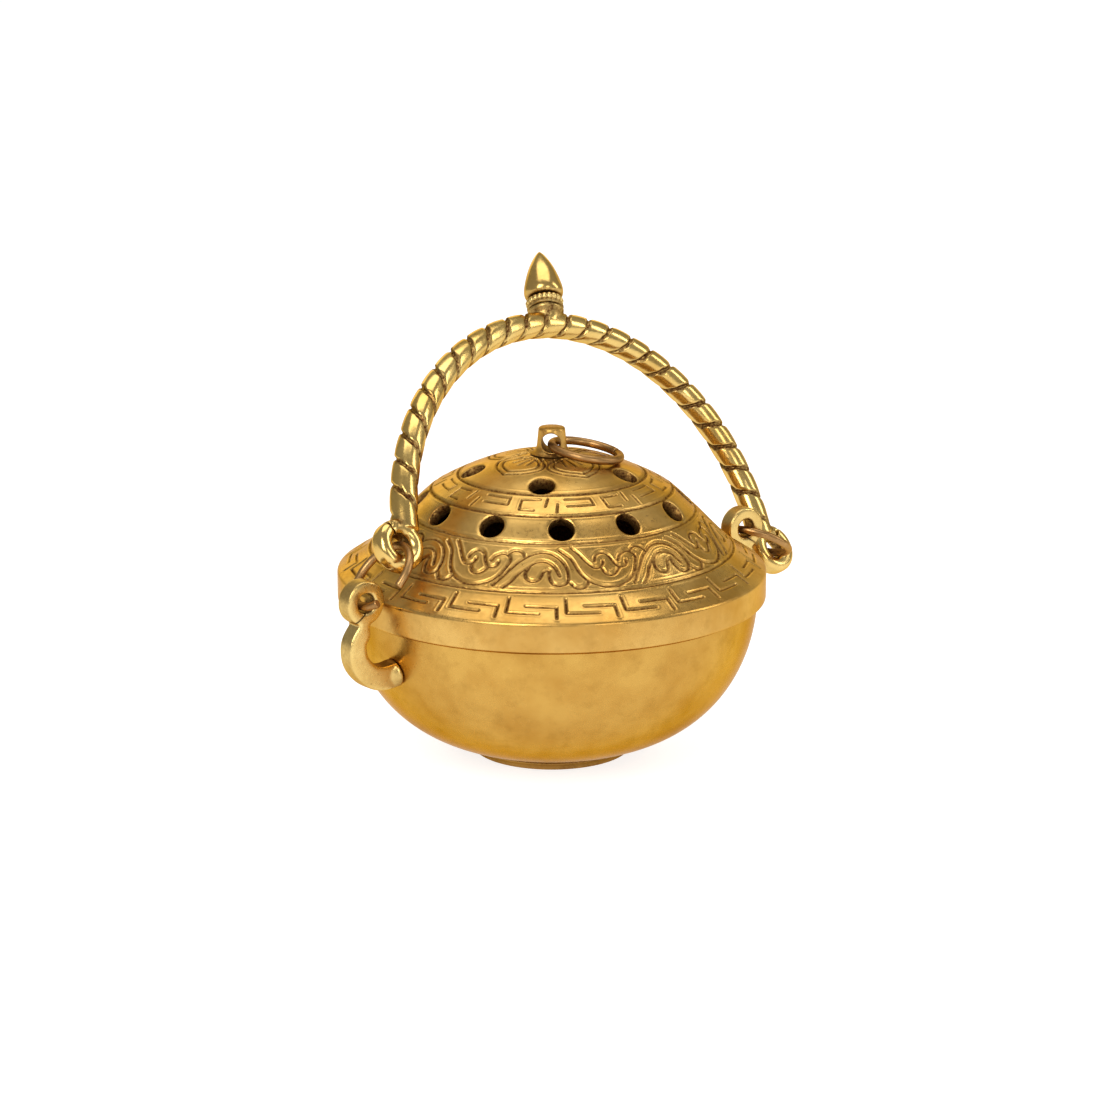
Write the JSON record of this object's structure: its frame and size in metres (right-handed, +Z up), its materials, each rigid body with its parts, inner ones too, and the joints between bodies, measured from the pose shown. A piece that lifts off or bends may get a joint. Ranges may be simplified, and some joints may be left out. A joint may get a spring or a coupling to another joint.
{
  "type": "thurible censer",
  "caption": "Round brass censer: footed bowl, pierced domed lid with a ring, scroll lugs, wire links and a twisted-rope bail with a bud finial.",
  "frame": {"origin": "centre of the foot's underside", "axes": "+Z up along the bowl's axis, +X towards the right-hand lug, +Y towards the back, where the handle leans"},
  "size_m": [0.1468, 0.108, 0.1186],
  "materials": {
    "polished_brass": "satin polished, with brown patina in the engraving",
    "patinated_brass": "satin, darkened by brown patina",
    "burnished_brass": "bright, rubbed by handling",
    "copper_wire": "reddish brass wire, satin"
  },
  "bodies": {
    "bowl": {"bowl_shell": "polished_brass", "foot": "patinated_brass", "left_lug": "burnished_brass", "right_lug": "burnished_brass"},
    "lid": {"lid_dome": "polished_brass", "lid_post": "burnished_brass"},
    "lid_ring": {"lid_ring": "copper_wire"},
    "handle": {"bail": "polished_brass", "finial_collar": "patinated_brass", "finial_bud": "burnished_brass"},
    "left_link": {"left_link": "copper_wire"},
    "right_link": {"right_link": "copper_wire"}
  },
  "joints": [
    {"name": "lid_lift", "type": "slide", "parent": "bowl", "child": "lid", "axis": [0, 0, 1], "range_m": [0, 0.0015]},
    {"name": "lid_ring_swing", "type": "hinge", "parent": "lid", "child": "lid_ring", "pos_m": [0, 0, 0.079], "axis": [-0.6561, -0.7547, 0], "range_deg": [0, 157]},
    {"name": "handle_swing", "type": "hinge", "parent": "bowl", "child": "handle", "pos_m": [0.01275, -0.00092, 0.0502], "axis": [0.9845, 0.0406, -0.1705], "range_deg": [0, 50]},
    {"name": "left_link_turn", "type": "hinge", "parent": "bowl", "child": "left_link", "pos_m": [-0.05483, -0.00518, 0.05484], "axis": [-0.7324, 0.0851, 0.6755], "range_deg": [-20, 20]},
    {"name": "right_link_turn", "type": "hinge", "parent": "bowl", "child": "right_link", "pos_m": [0.06728, -0.0008, 0.04358], "axis": [0.4898, 0.2052, 0.8473], "range_deg": [-25, 25]}
  ]
}
